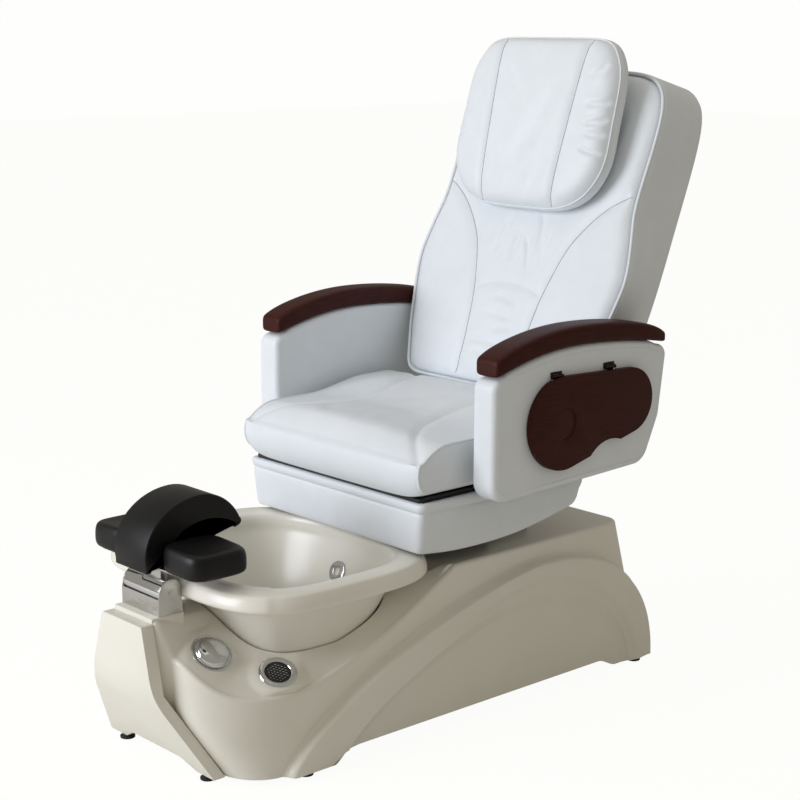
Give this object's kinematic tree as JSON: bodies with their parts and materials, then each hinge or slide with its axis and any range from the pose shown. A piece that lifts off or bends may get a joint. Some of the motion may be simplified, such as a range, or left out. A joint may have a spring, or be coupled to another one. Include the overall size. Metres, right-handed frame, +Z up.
{
  "type": "pedicure spa chair",
  "caption": "Spa chair on a moulded boat-shaped base with a foot basin and footrest in front, and a sliding upholstered seat with arms, fold-up trays and a reclining massage back.",
  "frame": {"origin": "on the floor, under the middle of the outline, on the chair's middle plane", "axes": "+Z up, the chair faces -Y, +X is the side of the mixer knob and the air grille (the sitter's left)"},
  "size_m": [0.787, 1.4177, 1.4022],
  "materials": {
    "gelcoat": "glossy moulded gelcoat",
    "white_leather": "soft satin upholstery",
    "black_leather": "satin moulded skin",
    "mahogany": "stained, satin lacquer",
    "stainless": "brushed",
    "chrome": "polished",
    "brass": "as cast",
    "bronzed_steel": "bronzed",
    "painted_steel": "black powder coat",
    "black_plastic": "moulded",
    "rubber": "moulded"
  },
  "bodies": {
    "base": {"base_shell": "gelcoat", "front_panel": "gelcoat", "basin": "gelcoat", "base_frame": "painted_steel", "levelling_feet": "rubber", "service_cover": "gelcoat", "drain_flange": "chrome", "jet_faceplate": "chrome", "jet_pump": "black_plastic", "drain_pump": "black_plastic", "control_box": "black_plastic", "power_inlet": "black_plastic", "mixer_bezel": "chrome", "mixer_valve": "brass", "grille_ring": "chrome", "grille_insert": "black_plastic", "footrest_bracket": "stainless", "footrest_pin": "stainless", "slide_rails": "stainless"},
    "knob": {"mixer_knob": "chrome"},
    "plug": {"drain_plug": "chrome"},
    "footrest": {"footrest_roll": "chrome", "footrest_arm": "stainless", "footrest_arch": "black_leather", "footrest_pad_left": "black_leather", "footrest_pad_right": "black_leather"},
    "seat": {"slide_shoes": "black_plastic", "seat_frame": "painted_steel", "seat_skirt": "white_leather", "seat_pan": "painted_steel", "seat_cushion": "white_leather", "arm_brackets": "painted_steel", "arm_bolts": "stainless", "arm_left": "white_leather", "arm_right": "white_leather", "arm_cap_left": "mahogany", "arm_cap_right": "mahogany", "tray_leaves_left": "bronzed_steel", "tray_leaves_right": "bronzed_steel", "recline_brackets": "painted_steel", "recline_pins": "stainless"},
    "left_tray": {"tray_left": "mahogany", "tray_knuckles_left": "bronzed_steel"},
    "right_tray": {"tray_right": "mahogany", "tray_knuckles_right": "bronzed_steel"},
    "back": {"back_frame": "painted_steel", "back_cover": "white_leather", "back_cushion": "white_leather", "headrest_pillow": "white_leather", "massage_rails": "stainless"},
    "massage": {"massage_carriage": "black_plastic", "massage_rollers": "rubber"}
  },
  "joints": [
    {"name": "knob_turn", "type": "hinge", "parent": "base", "child": "knob", "pos_m": [0.12079, -0.57683, 0.24384], "axis": [0.6069, -0.0152, 0.7946], "range_deg": [-60, 60]},
    {"name": "plug_lift", "type": "slide", "parent": "base", "child": "plug", "axis": [0, 0, 1], "range_m": [0, 0.008]},
    {"name": "footrest_tilt", "type": "hinge", "parent": "base", "child": "footrest", "pos_m": [0, -0.628, 0.362], "axis": [1, 0, 0], "range_deg": [-8, 50]},
    {"name": "seat_slide", "type": "slide", "parent": "base", "child": "seat", "axis": [0, 1, 0], "range_m": [0, 0.12]},
    {"name": "right_tray_flip", "type": "hinge", "parent": "seat", "child": "right_tray", "pos_m": [0.3825, 0.18, 0.738], "axis": [0, -1, 0], "range_deg": [0, 90]},
    {"name": "left_tray_flip", "type": "hinge", "parent": "seat", "child": "left_tray", "pos_m": [-0.3825, 0.18, 0.738], "axis": [0, 1, 0], "range_deg": [0, 90]},
    {"name": "back_recline", "type": "hinge", "parent": "seat", "child": "back", "pos_m": [0, 0.335, 0.585], "axis": [-1, 0, 0], "range_deg": [0, 38]},
    {"name": "massage_travel", "type": "slide", "parent": "back", "child": "massage", "axis": [0, 0.3746, 0.9272], "range_m": [0, 0.16]}
  ]
}
